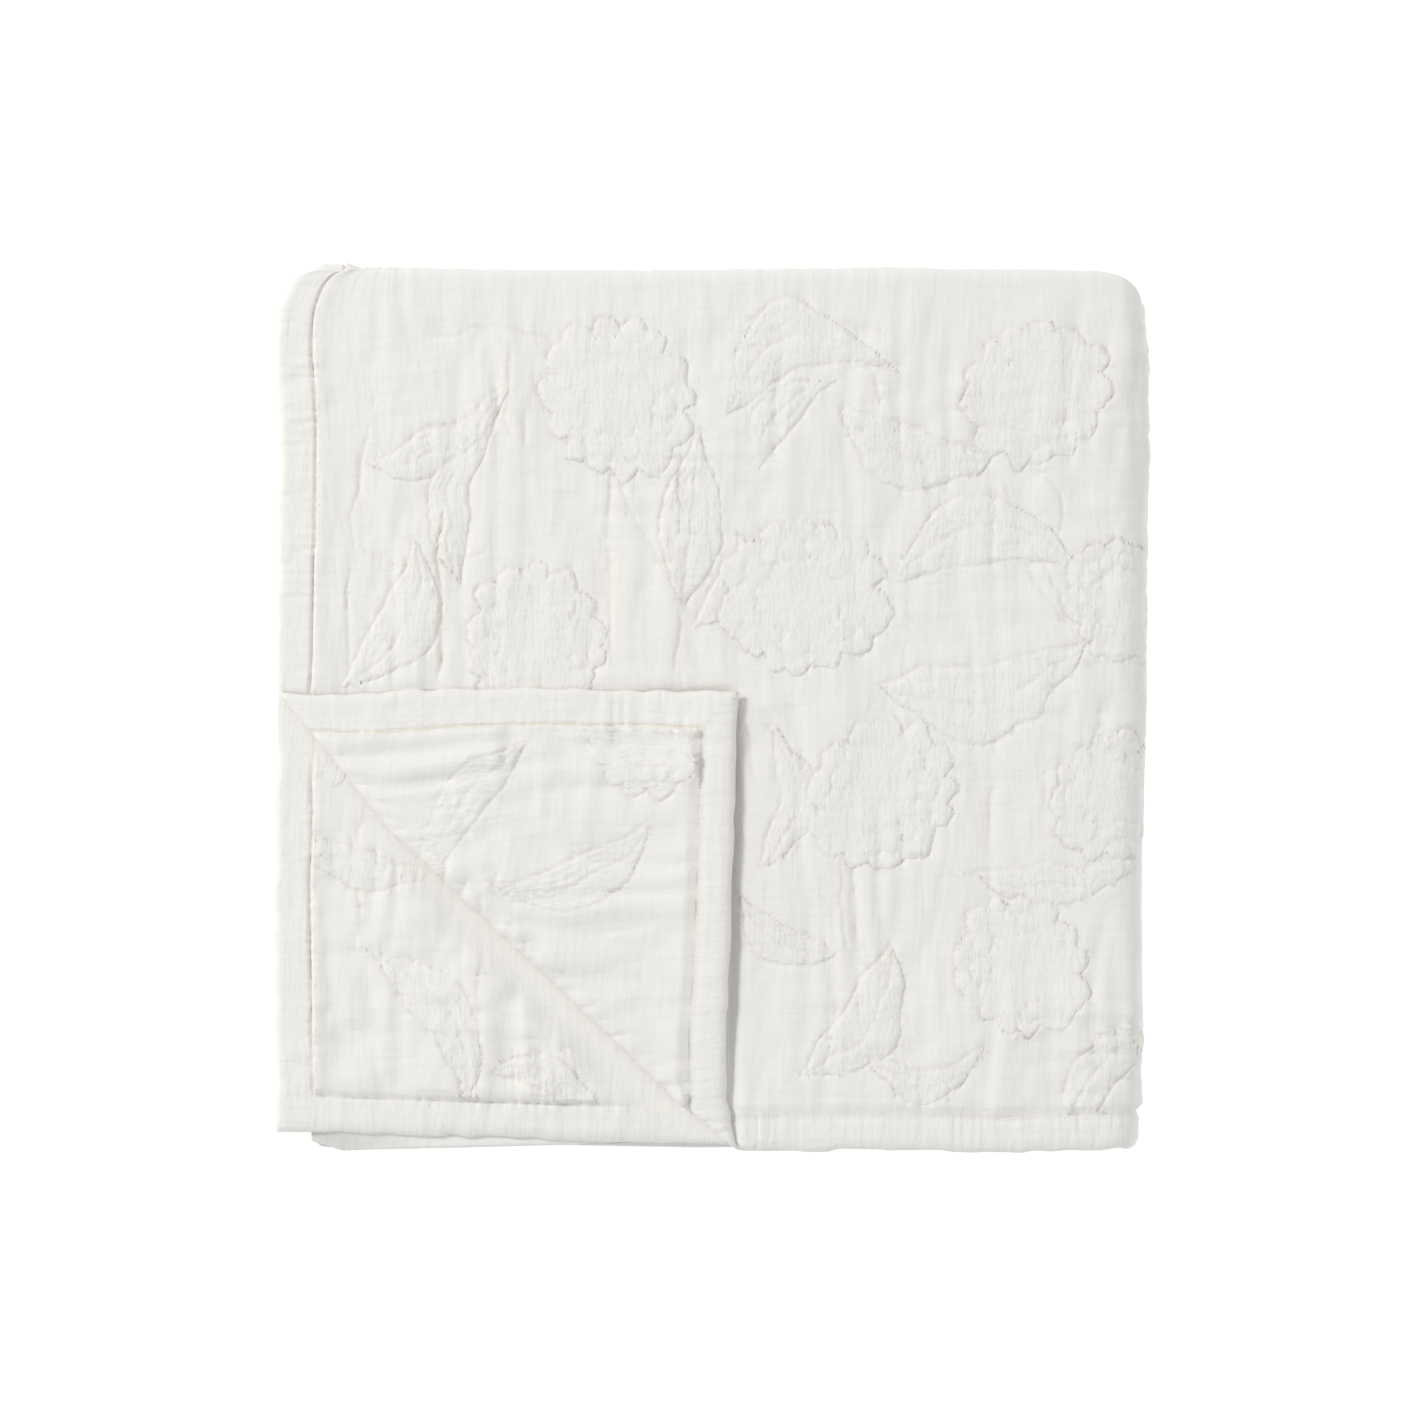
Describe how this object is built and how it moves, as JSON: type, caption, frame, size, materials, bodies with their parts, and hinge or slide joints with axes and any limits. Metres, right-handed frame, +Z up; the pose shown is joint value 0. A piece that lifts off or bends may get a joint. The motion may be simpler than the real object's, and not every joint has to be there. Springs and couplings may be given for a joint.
{
  "type": "folded quilted bedspread",
  "caption": "Square cotton bedspread with puffed flowers and leaves woven in, folded into a near-square stack with one corner of the top layer turned over.",
  "frame": {"origin": "centre of the box that holds the folded stack, on the surface that it rests on", "axes": "+Z up out of the stack, +X towards the outermost fold, +Y towards the fold opposite the hem of the top layer"},
  "size_m": [0.643, 0.6562, 0.0588],
  "materials": {
    "cotton": "warm white double cotton cloth, crinkled, matt"
  },
  "bodies": {
    "root": {"bedspread": "cotton"}
  },
  "joints": []
}
